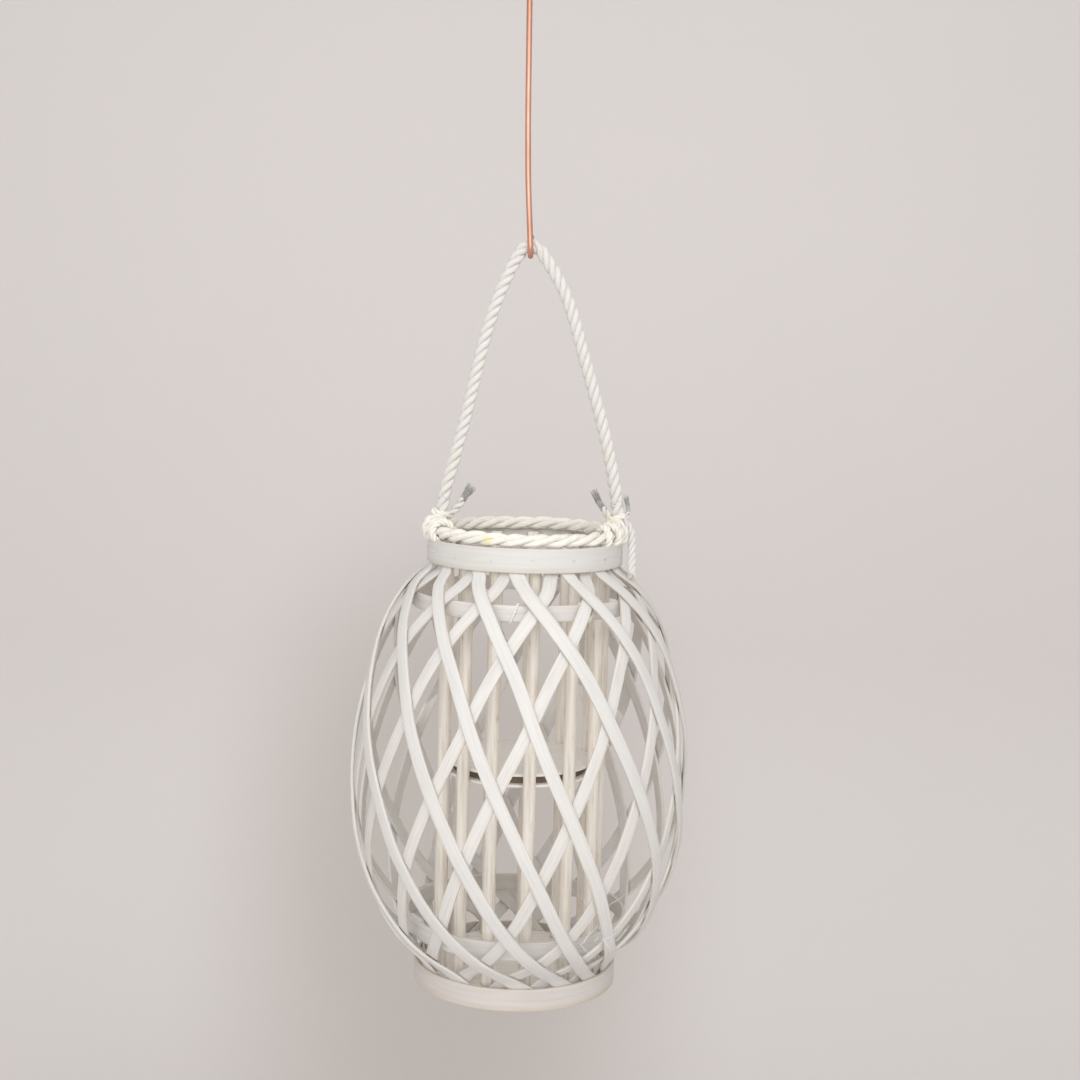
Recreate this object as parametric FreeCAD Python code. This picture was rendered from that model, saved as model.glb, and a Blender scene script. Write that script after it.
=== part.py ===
import FreeCAD, Part
import math
import os
from bisect import bisect_right

# Hanging lantern: a barrel of crossed split-willow strips round a cage of upright willow sticks,
# with a candle platform inside, hung by a rope handle from a bent copper hook.
#
# Every size is in millimetres. Heights are measured up from the face that the lantern stands on,
# x and y from the lantern's own axis, and azimuth 0 faces -Y. At export everything moves so that
# the origin is the middle of the hook's eye, which is what holds the lantern up.

Vector = FreeCAD.Vector

# ---- driving dimensions --------------------------------------------------------------------------

BODY_HEIGHT = 338.0
LATTICE_WAIST_HEIGHT = 158.0

# (height, radius) of the lattice's outer face, from the bottom band to the top band
LATTICE_OUTLINE = [(0.0, 73.6), (16.0, 73.6), (22.0, 78.6), (41.0, 96.0), (62.0, 108.5), (90.0, 119.5),
                   (122.0, 126.0), (155.0, 127.5), (184.0, 126.5), (210.0, 123.2), (240.0, 116.8),
                   (270.0, 107.5), (293.0, 95.8), (309.0, 84.0), (320.5, 70.6), (340.0, 70.6)]

# (height, degrees) that a strip has turned about the axis, counted from the waist
STRIP_TURN = [(0.0, -70.0), (8.0, -61.0), (34.0, -35.0), (65.0, -21.0), (110.0, -10.0), (158.0, 0.0),
              (210.0, 11.0), (255.0, 21.0), (290.0, 33.0), (320.0, 48.0), (340.0, 57.0)]

STRIPS_PER_LAYER = 14
STRIP_WIDTH = 10.0
STRIP_THICKNESS = 2.5
LAYER_GAP = 0.7
STRIP_TOP_END = 332.0
STRIP_BOTTOM_END = 8.0
STRIP_SECTIONS = 26
POINTS_ACROSS_STRIP = 4

# Willow is never set out evenly: degrees that a strip is off its place at the top, the waist and the bottom
OUTER_WAIST_AZIMUTH = 18.0
OUTER_NUDGES = {0: (3, -1, -1), 1: (0, 2, 3), 2: (6, -1, 0), 3: (5, -2, 0),
                11: (-4, 6, 12), 12: (4, 7, 12), 13: (3, 4, 6)}
INNER_WAIST_AZIMUTH = -8.0
INNER_NUDGES = {0: (2, -2, 1), 1: (2, 1, 3), 2: (-4, 0, 3), 11: (5, 7, 5), 12: (1, 4, 4), 13: (3, 3, 6)}

TOP_BAND = {"inner": 71.0, "outer": 73.0, "low": 320.5, "high": BODY_HEIGHT}
BOTTOM_BAND = {"inner": 74.3, "outer": 76.8, "low": 0.0, "high": 16.5}
TOP_HOOP = {"inner": 81.5, "outer": 84.0, "low": 287.5, "high": 299.0}
BOTTOM_HOOP = {"inner": 81.5, "outer": 84.0, "low": 41.0, "high": 54.0}

NAIL_COUNT = 15
NAIL_FIRST_AZIMUTH = 5.0
NAIL_HEIGHT = 329.0
NAIL_RADIUS = 1.1
NAIL_HEAD_STANDS_OUT = 0.45
NAIL_DEPTH_IN_BAND = 1.6

STICK_COUNT = 13
STICK_FIRST_AZIMUTH = 9.0
STICK_NUDGES = {0: -1, 1: 1, 2: 3, 10: 5, 11: 4}
STICK_CIRCLE_RADIUS = 60.0
STICK_RADIUS = 4.6
STICK_TOP = 336.5

BASE_BOARD_RADIUS = 67.2
BASE_BOARD_LOW = 7.5
BASE_BOARD_HIGH = 12.5

PLATFORM_TOP = 171.0
PLATFORM_THICKNESS = 2.0
PLATFORM_RADIUS = 55.2
LEDGE_INNER_RADIUS = 44.0
LEDGE_OUTER_RADIUS = 50.0
LEDGE_HEIGHT = 6.0
PLATFORM_HOOP_INNER_RADIUS = 46.0
PLATFORM_HOOP_THICKNESS = 2.0

RIM_ROPE_RADIUS = 4.75
RIM_CIRCLE_RADIUS = 67.0
RIM_HEIGHT = 343.0

HANDLE_ROPE_DIAMETER = 9.5
HINGE_HEIGHT = 366.0
# (x, height) of the handle rope's route, from the left lashing over the hook to the right lashing
HANDLE_ROUTE = [(-62.5, HINGE_HEIGHT), (-55.8, 391.0), (-48.6, 419.0), (-42.2, 447.5), (-36.8, 474.0),
                (-30.5, 499.0), (-22.6, 522.0), (-14.2, 541.0), (-7.4, 552.2), (-1.6, 554.7), (4.3, 552.3),
                (11.3, 542.5), (22.5, 525.0), (31.3, 503.0), (38.8, 477.0), (47.6, 449.0), (56.2, 420.0),
                (62.9, 392.5), (68.0, HINGE_HEIGHT)]

KNOT_RADIUS = 11.0
KNOT_HEIGHT = 349.5
KNOT_LOWEST = 339.6
KNOT_TO_RIM_GAP = 0.3
LEFT_KNOT_X = -64.0
RIGHT_KNOT_X = 68.0
# (x, y, height) routes of the lashings' loose ends
LEFT_STUB_ROUTE = [(-58.0, 0.0, 353.0), (-50.5, 1.0, 360.0), (-46.5, 1.5, 367.5), (-40.5, 0.5, 376.5)]
RIGHT_STUB_ROUTE = [(62.5, -1.0, 354.0), (58.0, -1.5, 361.5), (53.5, -0.5, 367.0), (50.0, 1.0, 376.0)]
OUTER_STUB_ROUTE = [(73.5, 1.0, 353.0), (76.6, 0.5, 358.5), (75.6, -1.0, 365.0), (73.8, -2.0, 373.0)]
TAIL_ROUTE = [(71.0, -2.0, 353.5), (77.8, -5.0, 350.0), (79.4, -9.5, 338.0), (79.4, -15.5, 326.0),
              (79.3, -24.0, 312.5)]
STUB_RADIUS = 2.6
OUTER_STUB_RADIUS = 1.8
TAIL_RADIUS = 3.1

HOOK_ROD_RADIUS = 2.1
HOOK_X = -1.8
HOOK_SEAT_HEIGHT = 546.5
HOOK_BOWL_RADIUS = 7.2
HOOK_TIP_HEIGHT = 561.0
HOOK_TIP_OPENS = 1.0
EYE_RADIUS = 6.6
EYE_X = -7.5
EYE_HEIGHT = 745.0
# (x, y, height) of the rod between the eye and the bowl that the rope sits in
HOOK_ROD_ROUTE = [(-6.9, -1.8, 695.0), (-6.3, -4.0, 648.0), (-4.9, -6.2, 600.0), (-3.0, -7.4, 570.0)]


# ---- small tools ---------------------------------------------------------------------------------

def smooth(points, x):
    """Value at x of the smooth curve through (x, value) points, which never overshoots them."""
    places = [point[0] for point in points]
    index = min(max(bisect_right(places, x) - 1, 0), len(points) - 2)
    steps = [b[0] - a[0] for a, b in zip(points, points[1:])]
    rises = [(b[1] - a[1]) / step for a, b, step in zip(points, points[1:], steps)]

    def slope(i):
        if i == 0:
            return rises[0]
        if i == len(rises):
            return rises[-1]
        if rises[i - 1] * rises[i] <= 0:
            return 0.0
        before = 2 * steps[i] + steps[i - 1]
        after = steps[i] + 2 * steps[i - 1]
        return (before + after) / (before / rises[i - 1] + after / rises[i])

    step = steps[index]
    t = (x - places[index]) / step
    start, end = points[index][1], points[index + 1][1]
    return (start * (1 + 2 * t) * (1 - t) ** 2 + slope(index) * step * t * (1 - t) ** 2
            + end * t * t * (3 - 2 * t) + slope(index + 1) * step * t * t * (t - 1))


def on_circle(radius, azimuth_degrees, height):
    """The point at an azimuth that is 0 towards -Y and grows towards +X."""
    angle = math.radians(azimuth_degrees)
    return Vector(radius * math.sin(angle), -radius * math.cos(angle), height)


def ring(inner, outer, low, high):
    """An upright hoop with flat ends."""
    hoop = Part.makeCylinder(outer, high - low, Vector(0, 0, low))
    return hoop.cut(Part.makeCylinder(inner, high - low, Vector(0, 0, low)))


def rounded_wire(points):
    """Straight runs joined by tangent arcs, each arc as large as its two runs allow."""
    edges = []
    radii = []
    start = points[0]
    for before, corner, after in zip(points, points[1:], points[2:]):
        run_in = (corner - before).normalize()
        run_out = (after - corner).normalize()
        half_turn = run_in.getAngle(run_out) / 2
        reach = 0.45 * min((corner - before).Length, (after - corner).Length)
        radius = reach / math.tan(half_turn)
        arc_start = corner - run_in * reach
        arc_end = corner + run_out * reach
        inward = (run_out - run_in).normalize()
        arc_middle = corner + inward * (radius / math.cos(half_turn) - radius)
        edges.append(Part.LineSegment(start, arc_start).toShape())
        edges.append(Part.Arc(arc_start, arc_middle, arc_end).toShape())
        radii.append(radius)
        start = arc_end
    edges.append(Part.LineSegment(start, points[-1]).toShape())
    return Part.Wire(edges), radii


def round_bar(name, points, radius):
    """A round bar or rope along a rounded wire. It prints its bends and how true its volume is."""
    path, radii = rounded_wire(points)
    section = Part.Wire(Part.makeCircle(radius, points[0], points[1] - points[0]))
    bar = path.makePipeShell([section], True, False)
    expected = math.pi * radius ** 2 * path.Length
    print(name, "length %.1f" % path.Length, "radii", [round(value, 1) for value in radii],
          "volume ratio %.4f" % (bar.Volume / expected))
    return bar


# ---- lattice -------------------------------------------------------------------------------------

TABLE_STEP = 0.5


def outline_table():
    """(distance along the outline, height) pairs, so that a strip can be laid out by its true width."""
    table = [(0.0, 0.0)]
    radius = smooth(LATTICE_OUTLINE, 0.0)
    while table[-1][1] < LATTICE_OUTLINE[-1][0]:
        distance, height = table[-1]
        next_radius = smooth(LATTICE_OUTLINE, height + TABLE_STEP)
        table.append((distance + math.hypot(TABLE_STEP, next_radius - radius), height + TABLE_STEP))
        radius = next_radius
    return table


OUTLINE_TABLE = outline_table()
DISTANCES = [row[0] for row in OUTLINE_TABLE]


def height_at(distance):
    """The height at a distance along the outline."""
    index = min(max(bisect_right(DISTANCES, distance) - 1, 0), len(DISTANCES) - 2)
    low, high = OUTLINE_TABLE[index], OUTLINE_TABLE[index + 1]
    return low[1] + (high[1] - low[1]) * (distance - low[0]) / (high[0] - low[0])


def distance_at(height):
    """The distance along the outline at a height."""
    index = min(max(int(height / TABLE_STEP), 0), len(OUTLINE_TABLE) - 2)
    low, high = OUTLINE_TABLE[index], OUTLINE_TABLE[index + 1]
    return low[0] + (high[0] - low[0]) * (height - low[1]) / TABLE_STEP


def surface_point(distance, azimuth_degrees, depth):
    """A point at a depth below the lattice's outer face, measured square to it."""
    reach = 0.6
    height = height_at(distance)
    rise = height_at(distance + reach) - height_at(distance - reach)
    spread = (smooth(LATTICE_OUTLINE, height_at(distance + reach))
              - smooth(LATTICE_OUTLINE, height_at(distance - reach)))
    length = math.hypot(rise, spread)
    radius = smooth(LATTICE_OUTLINE, height) - depth * rise / length
    return on_circle(radius, azimuth_degrees, height + depth * spread / length)


def strip_section(height, azimuth_at, outer_depth):
    """The closed level outline of a strip at one height, wider than the strip where it leans."""
    step = 1.0
    distance = distance_at(height)
    radius = smooth(LATTICE_OUTLINE, height)
    along = distance_at(height + step) - distance_at(height - step)
    around = radius * math.radians(azimuth_at(height + step) - azimuth_at(height - step))
    level_width = STRIP_WIDTH * math.hypot(along, around) / along
    rows = []
    for depth in (outer_depth, outer_depth + STRIP_THICKNESS):
        row = []
        for i in range(POINTS_ACROSS_STRIP):
            across = level_width * (i / (POINTS_ACROSS_STRIP - 1) - 0.5)
            row.append(surface_point(distance, azimuth_at(height) + math.degrees(across / radius), depth))
        rows.append(row)
    outline = rows[0] + rows[1][::-1]
    return Part.makePolygon(outline + outline[:1])


def lattice_strip(waist_azimuth, lean, outer_depth, nudges):
    """One flat strip from the bottom band to the top band."""
    top, waist, bottom = nudges
    nudge = [(0.0, bottom), (LATTICE_WAIST_HEIGHT, waist), (BODY_HEIGHT, top)]

    def azimuth_at(height):
        return waist_azimuth + lean * smooth(STRIP_TURN, height) + smooth(nudge, height)

    sections = []
    for i in range(STRIP_SECTIONS):
        share = 0.5 - 0.5 * math.cos(math.pi * i / (STRIP_SECTIONS - 1))
        height = STRIP_BOTTOM_END + share * (STRIP_TOP_END - STRIP_BOTTOM_END)
        sections.append(strip_section(height, azimuth_at, outer_depth))
    return Part.makeLoft(sections, True, False)


def lattice():
    """Both layers: the outer strips lean one way, the inner strips the other."""
    spacing = 360.0 / STRIPS_PER_LAYER
    inner_depth = STRIP_THICKNESS + LAYER_GAP
    nodes = {}
    for i in range(STRIPS_PER_LAYER):
        outer = lattice_strip(OUTER_WAIST_AZIMUTH + i * spacing, -1, 0.0, OUTER_NUDGES.get(i, (0, 0, 0)))
        inner = lattice_strip(INNER_WAIST_AZIMUTH + i * spacing, 1, inner_depth,
                              INNER_NUDGES.get(i, (0, 0, 0)))
        nodes["outer_strip_%02d" % (i + 1)] = outer
        nodes["inner_strip_%02d" % (i + 1)] = inner
    return nodes


# ---- bands, hoops, sticks and boards -------------------------------------------------------------

def bands_and_hoops():
    return {"top_band": ring(**TOP_BAND), "bottom_band": ring(**BOTTOM_BAND),
            "top_hoop": ring(**TOP_HOOP), "bottom_hoop": ring(**BOTTOM_HOOP)}


def top_band_nails():
    """Small round-headed nails, driven through the top band."""
    nails = []
    inner_end = TOP_BAND["outer"] - NAIL_DEPTH_IN_BAND
    length = NAIL_DEPTH_IN_BAND + NAIL_HEAD_STANDS_OUT
    for i in range(NAIL_COUNT):
        azimuth = NAIL_FIRST_AZIMUTH + i * 360.0 / NAIL_COUNT
        start = on_circle(inner_end, azimuth, NAIL_HEIGHT)
        direction = on_circle(1.0, azimuth, 0.0)
        nails.append(Part.makeCylinder(NAIL_RADIUS, length, start, direction))
    return Part.makeCompound(nails)


def sticks():
    """The upright cage, which stands on the base board."""
    nodes = {}
    for i in range(STICK_COUNT):
        azimuth = STICK_FIRST_AZIMUTH + i * 360.0 / STICK_COUNT + STICK_NUDGES.get(i, 0)
        foot = on_circle(STICK_CIRCLE_RADIUS, azimuth, BASE_BOARD_HIGH)
        nodes["stick_%02d" % (i + 1)] = Part.makeCylinder(STICK_RADIUS, STICK_TOP - BASE_BOARD_HIGH, foot)
    return nodes


def boards():
    """The base board, and the platform on its ledge and hoop."""
    board_low = PLATFORM_TOP - PLATFORM_THICKNESS
    ledge_low = board_low - LEDGE_HEIGHT
    hoop_low = ledge_low - PLATFORM_HOOP_THICKNESS
    return {
        "base_board": Part.makeCylinder(BASE_BOARD_RADIUS, BASE_BOARD_HIGH - BASE_BOARD_LOW,
                                        Vector(0, 0, BASE_BOARD_LOW)),
        "platform_board": Part.makeCylinder(PLATFORM_RADIUS, PLATFORM_THICKNESS, Vector(0, 0, board_low)),
        "platform_ledge": ring(LEDGE_INNER_RADIUS, LEDGE_OUTER_RADIUS, ledge_low, board_low),
        "platform_hoop": ring(PLATFORM_HOOP_INNER_RADIUS, PLATFORM_RADIUS, hoop_low, ledge_low),
    }


# ---- ropes and lashings --------------------------------------------------------------------------

def rim_rope():
    return Part.makeTorus(RIM_CIRCLE_RADIUS, RIM_ROPE_RADIUS, Vector(0, 0, RIM_HEIGHT))


def handle_rope():
    """One rope over the hook, with a round end above each lashing, centred where it bends there."""
    radius = HANDLE_ROPE_DIAMETER / 2
    route = [Vector(x, 0, height) for x, height in HANDLE_ROUTE]
    rope = round_bar("handle_rope", route, radius)
    for end in (route[0], route[-1]):
        rope = rope.fuse(Part.makeSphere(radius, end))
    return rope.removeSplitter()


def knot(x):
    """A lump of rope tied over the rim rope."""
    lump = Part.makeSphere(KNOT_RADIUS, Vector(x, 0, KNOT_HEIGHT))
    reach = 2 * KNOT_RADIUS
    corner = Vector(x - reach, -reach, KNOT_LOWEST - 2 * reach)
    return lump.cut(Part.makeBox(2 * reach, 2 * reach, 2 * reach, corner))


def loose_end(name, route, radius):
    """A short length of rope that leaves a knot, with a round tip."""
    points = [Vector(*point) for point in route]
    return round_bar(name, points, radius).fuse(Part.makeSphere(radius, points[-1]))


def lashing(x, ends):
    """A knot and its loose ends, cut away where the rim rope passes through them."""
    rim = Part.makeTorus(RIM_CIRCLE_RADIUS, RIM_ROPE_RADIUS + KNOT_TO_RIM_GAP, Vector(0, 0, RIM_HEIGHT))
    shape = knot(x)
    for name, route, radius in ends:
        shape = shape.fuse(loose_end(name, route, radius))
    return shape.cut(rim).removeSplitter()


def lashings():
    left_ends = [("left stub", LEFT_STUB_ROUTE, STUB_RADIUS)]
    right_ends = [("right stub", RIGHT_STUB_ROUTE, STUB_RADIUS),
                  ("outer stub", OUTER_STUB_ROUTE, OUTER_STUB_RADIUS),
                  ("tail", TAIL_ROUTE, TAIL_RADIUS)]
    return {
        "left_lashing": lashing(LEFT_KNOT_X, left_ends),
        "right_lashing": lashing(RIGHT_KNOT_X, right_ends),
    }


# ---- hook ----------------------------------------------------------------------------------------

def hanging_hook():
    """A bent rod with a closed eye at the top and an open bowl at the bottom, which holds the rope."""
    bowl_centre = HOOK_SEAT_HEIGHT + HOOK_BOWL_RADIUS
    corner_reach = HOOK_BOWL_RADIUS / math.cos(math.pi / 8)
    bowl = []
    for turned in (22.5, 67.5, 112.5, 157.5):
        angle = math.radians(180.0 + turned)
        bowl.append(Vector(HOOK_X, corner_reach * math.cos(angle),
                           bowl_centre + corner_reach * math.sin(angle)))
    tip = Vector(HOOK_X, HOOK_BOWL_RADIUS + HOOK_TIP_OPENS, HOOK_TIP_HEIGHT)
    top = Vector(EYE_X, 0, EYE_HEIGHT - EYE_RADIUS)
    route = [top] + [Vector(*point) for point in HOOK_ROD_ROUTE] + bowl + [tip]
    rod = round_bar("hanging_hook", route, HOOK_ROD_RADIUS).fuse(Part.makeSphere(HOOK_ROD_RADIUS, tip))
    eye = Part.makeTorus(EYE_RADIUS, HOOK_ROD_RADIUS, Vector(EYE_X, 0, EYE_HEIGHT), Vector(0, 1, 0))
    return rod.fuse(eye).removeSplitter()


# ---- assembly ------------------------------------------------------------------------------------

def all_nodes():
    nodes = {"hanging_hook": hanging_hook(), "handle_rope": handle_rope(), "rim_rope": rim_rope()}
    nodes.update(lashings())
    nodes.update(bands_and_hoops())
    nodes["top_band_nails"] = top_band_nails()
    nodes.update(sticks())
    nodes.update(boards())
    nodes.update(lattice())
    return nodes


def main():
    os.makedirs("parts", exist_ok=True)
    to_origin = Vector(-EYE_X, 0, -EYE_HEIGHT)
    for name, shape in all_nodes().items():
        shape.translate(to_origin)
        shape.exportStep("parts/%s.step" % name)
        state = "valid" if shape.isValid() else "NOT VALID"
        print("%-18s %s, %d solid, %.1f cm3" % (name, state, len(shape.Solids), shape.Volume / 1000))


main()
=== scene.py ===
import math
import random

import bmesh
import bpy
from mathutils import Matrix, Vector, noise


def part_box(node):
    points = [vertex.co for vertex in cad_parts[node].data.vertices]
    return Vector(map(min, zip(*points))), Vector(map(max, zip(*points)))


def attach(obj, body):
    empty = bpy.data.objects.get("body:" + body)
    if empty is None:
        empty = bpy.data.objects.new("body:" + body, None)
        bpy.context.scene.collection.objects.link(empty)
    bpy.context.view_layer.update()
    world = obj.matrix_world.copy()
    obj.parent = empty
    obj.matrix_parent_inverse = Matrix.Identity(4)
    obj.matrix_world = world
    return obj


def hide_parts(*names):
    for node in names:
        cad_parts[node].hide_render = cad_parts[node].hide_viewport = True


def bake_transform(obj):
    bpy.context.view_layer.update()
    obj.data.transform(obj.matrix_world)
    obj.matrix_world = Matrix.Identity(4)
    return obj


# Hanging willow lantern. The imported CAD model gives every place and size; this script gives it its looks.
# Lengths named here are in millimetres in the lantern's own frame: heights are above the face it stands on,
# x and y are from its axis, and azimuth 0 faces -Y, towards the camera. spot() turns them into the frame's
# metres. Values multiplied by MM, HANDLE_LENGTH and the stage's values are in metres already.

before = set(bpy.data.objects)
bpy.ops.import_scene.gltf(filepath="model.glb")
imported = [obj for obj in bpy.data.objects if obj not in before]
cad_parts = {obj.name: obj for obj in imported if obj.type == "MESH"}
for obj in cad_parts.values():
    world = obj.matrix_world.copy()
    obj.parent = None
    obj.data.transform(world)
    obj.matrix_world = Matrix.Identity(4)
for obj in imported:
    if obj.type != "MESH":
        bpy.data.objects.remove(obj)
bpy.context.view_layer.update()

MM = 0.001
BAND_LOW, BAND_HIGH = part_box("bottom_band")
AXIS_X = (BAND_LOW.x + BAND_HIGH.x) / 2
BASE_Z = BAND_LOW.z

# ---- camera ------------------------------------------------------------------------------------------

CAMERA_PLACE = (11.0, -1280.0, 478.0)
CAMERA_PITCH_DOWN = 6.3
CAMERA_ROLL = 1.6
CAMERA_LENS = 57.33
CAMERA_SENSOR = 36.0

# ---- ropes -------------------------------------------------------------------------------------------

HINGE_HEIGHT = 366.0
HANDLE_ROPE_DIAMETER = 9.5
# The handle's route: (x, height), from the left lashing over the hook to the right lashing
HANDLE_ROUTE = [(-62.5, HINGE_HEIGHT), (-55.8, 391.0), (-48.6, 419.0), (-42.2, 447.5), (-36.8, 474.0),
                (-30.5, 499.0), (-22.6, 522.0), (-14.2, 541.0), (-7.4, 552.2), (-1.6, 554.7), (4.3, 552.3),
                (11.3, 542.5), (22.5, 525.0), (31.3, 503.0), (38.8, 477.0), (47.6, 449.0), (56.2, 420.0),
                (62.9, 392.5), (68.0, HINGE_HEIGHT)]
HANDLE_PITCH = 25.0
HANDLE_HAIRS = 120
HANDLE_HAIR_LENGTH = 4.5
# The rings at each end of the handle rope from which no hairs grow
HAIRLESS_RINGS = 8
LEFT_FOOT = (-63.0, 350.0)
RIGHT_FOOT = (69.5, 350.0)

RIM_ROPE_RADIUS = 4.75
RIM_CIRCLE_RADIUS = 67.0
RIM_HEIGHT = 343.0
RIM_TURNS = 9
RIM_STRAND_FULLNESS = 1.05
RIM_WANDER = 0.4
RIM_HAIRS = 130
RIM_HAIR_LENGTH = 4.0
RIM_HAIR_ROOT = 5.2

LEFT_STUB_ROUTE = [(-58.0, 0.0, 353.0), (-50.5, 1.0, 360.0), (-46.5, 1.5, 367.5), (-40.5, 0.5, 376.5)]
RIGHT_STUB_ROUTE = [(62.5, -1.0, 354.0), (58.0, -1.5, 361.5), (53.5, -0.5, 367.0), (50.0, 1.0, 376.0)]
OUTER_STUB_ROUTE = [(73.5, 1.0, 353.0), (76.6, 0.5, 358.5), (75.6, -1.0, 365.0), (73.8, -2.0, 373.0)]
TAIL_ROUTE = [(71.0, -2.0, 353.5), (77.8, -5.0, 350.0), (79.4, -9.5, 338.0), (79.4, -15.5, 326.0),
              (79.3, -24.0, 312.5)]
TIE_RADIUS = 1.0

# ---- woodwork ----------------------------------------------------------------------------------------

STRIP_HALF_WIDTH = 5.0
STRIP_HALF_THICKNESS = 1.25
STRIP_EDGE_ROUND = 0.8
STICK_RADIUS = 4.6
HOOP_THICKNESS = 2.5
LOW_LATTICE_RADIUS = 111.0
SPLINTERS = 14
SPLINTER_AZIMUTHS = (25, 38)
SPLINTER_HEIGHTS = (58, 86)

# ---- stage values ------------------------------------------------------------------------------------

WALL_Y = 1.6
WALL_REACH = 4.0
FLOOR_Z = BASE_Z - 0.62
COVE = 0.6
COVE_STEPS = 16
# The lantern's painted shadow on the wall, a soft darker patch seen through the lantern's gaps: where it
# lies, and the inverse of its reach
PAINTED_SHADOW_PLACE = (0.2, -0.9, 1.62)
PAINTED_SHADOW_SCALE = (2.0, 0.6, 1.5)
WORLD_COLOUR = (1.0, 0.99, 0.985, 1.0)
WORLD_STRENGTH = 0.76

# ---- seeds: each piece that has chance in it draws from its own --------------------------------------

HANDLE_HAIR_SEED = 11
RIM_HAIR_SEED = 12
SPLINTER_SEED = 31
OUTER_STRIP_SEED = 100
INNER_STRIP_SEED = 200
STICK_SEED = 300


def spot(x, y, height):
    """A place in the frame's metres."""
    return Vector((AXIS_X + x * MM, y * MM, BASE_Z + height * MM))


def on_circle(radius, azimuth, height):
    """A place in the frame's metres, this far from the axis at an azimuth in degrees."""
    angle = math.radians(azimuth)
    return spot(radius * math.sin(angle), -radius * math.cos(angle), height)


def outwards(azimuth):
    """The level direction away from the axis at an azimuth."""
    angle = math.radians(azimuth)
    return Vector((math.sin(angle), -math.cos(angle), 0))


def srgb(red, green, blue):
    """Linear colour from display values of 0 to 255."""
    return tuple(((v / 255 + 0.055) / 1.055) ** 2.4 for v in (red, green, blue)) + (1.0,)


def grey(value):
    """A colour with the same linear value in each channel."""
    return (value, value, value, 1.0)


# ---- mesh tools --------------------------------------------------------------------------------------

def skin(name, tubes, closed=False, worn=None):
    """One mesh through tubes, each a list of rings of points. Its map runs along and around, in metres.

    worn holds one number for each point, from 0 to 1: how far the paint has gone there.
    """
    vertices, faces, uvs = [], [], []
    for tube in tubes:
        first = len(vertices)
        around = len(tube[0])
        for ring in tube:
            vertices.extend(ring)
        girth = sum((tube[0][j] - tube[0][j - 1]).length for j in range(around))
        spans = len(tube) if closed else len(tube) - 1
        along = 0.0
        for i in range(spans):
            here, there = tube[i], tube[(i + 1) % len(tube)]
            low, high = first + i * around, first + ((i + 1) % len(tube)) * around
            reach = along + (sum(there, Vector()) - sum(here, Vector())).length / around
            for j in range(around):
                k = (j + 1) % around
                left, right = girth * j / around, girth * (j + 1) / around
                faces.append((low + j, low + k, high + k, high + j))
                uvs += [(along, left), (along, right), (reach, right), (reach, left)]
            along = reach
        if not closed:
            last = first + (len(tube) - 1) * around
            faces.append(tuple(first + j for j in reversed(range(around))))
            faces.append(tuple(last + j for j in range(around)))
            uvs += [(0.0, girth * j / around) for j in reversed(range(around))]
            uvs += [(along, girth * j / around) for j in range(around)]
    mesh = bpy.data.meshes.new(name)
    mesh.from_pydata(vertices, [], faces)
    layer = mesh.uv_layers.new(name="Grain")
    layer.data.foreach_set("uv", [number for uv in uvs for number in uv])
    if worn:
        mesh.attributes.new("worn", "FLOAT", "POINT").data.foreach_set("value", worn)
    mesh.shade_smooth()
    mesh.update()
    thing = bpy.data.objects.new(name, mesh)
    bpy.context.scene.collection.objects.link(thing)
    return thing


def finish_piece(thing, material, body, slot, *nodes):
    """Gives a piece its material and its body, and hides the CAD nodes that it stands for. slot is not
    used.
    """
    thing.data.materials.append(material)
    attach(thing, body)
    if nodes:
        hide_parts(*nodes)
    return thing


def route_line(places):
    """Points along the smooth route that has these control points."""
    curve = bpy.data.curves.new("route", "CURVE")
    curve.dimensions = "3D"
    spline = curve.splines.new("NURBS")
    spline.points.add(len(places) - 1)
    for point, place in zip(spline.points, places):
        point.co = (*place, 1.0)
    spline.order_u = 3
    spline.use_endpoint_u = True
    spline.resolution_u = 24
    carrier = bpy.data.objects.new("route", curve)
    mesh = bpy.data.meshes.new_from_object(carrier)
    line = [vertex.co.copy() for vertex in mesh.vertices]
    bpy.data.objects.remove(carrier)
    bpy.data.curves.remove(curve)
    bpy.data.meshes.remove(mesh)
    return line


def evenly(line, step):
    """The same line with its points about a step apart."""
    distances = [0.0]
    for here, there in zip(line, line[1:]):
        distances.append(distances[-1] + (there - here).length)
    count = max(2, round(distances[-1] / step))
    points = []
    index = 0
    for i in range(count + 1):
        wanted = distances[-1] * i / count
        while index < len(line) - 2 and distances[index + 1] < wanted:
            index += 1
        share = (wanted - distances[index]) / (distances[index + 1] - distances[index])
        points.append(line[index].lerp(line[index + 1], share))
    return points


def frames(line, closed=False):
    """(tangent, normal, side) at each point of a line, turning as little as possible along it."""
    count = len(line)
    tangents = []
    for i in range(count):
        before = line[i - 1] if closed or i else line[0]
        after = line[(i + 1) % count] if closed or i + 1 < count else line[-1]
        tangents.append((after - before).normalized())
    normals = [tangents[0].orthogonal().normalized()]
    for here, there in zip(tangents, tangents[1:]):
        normals.append((here.rotation_difference(there) @ normals[-1]).normalized())
    slip = 0.0
    if closed:
        back = tangents[-1].rotation_difference(tangents[0]) @ normals[-1]
        slip = math.atan2(normals[0].cross(back).dot(tangents[0]), normals[0].dot(back))
    found = []
    for i, (tangent, normal) in enumerate(zip(tangents, normals)):
        normal = Matrix.Rotation(-slip * i / count, 3, tangent) @ normal
        found.append((tangent, normal, tangent.cross(normal)))
    return found


def tube_rings(line, radius_at, sides, closed=False):
    """Rings of points round a line. radius_at takes the point's number and the angle round it."""
    rings = []
    for i, (point, (_, normal, side)) in enumerate(zip(line, frames(line, closed))):
        ring = []
        for j in range(sides):
            angle = 2 * math.pi * j / sides
            reach = radius_at(i, angle)
            ring.append(point + normal * (reach * math.cos(angle)) + side * (reach * math.sin(angle)))
        rings.append(ring)
    return rings


YARNS_PER_STRAND = 7
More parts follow.
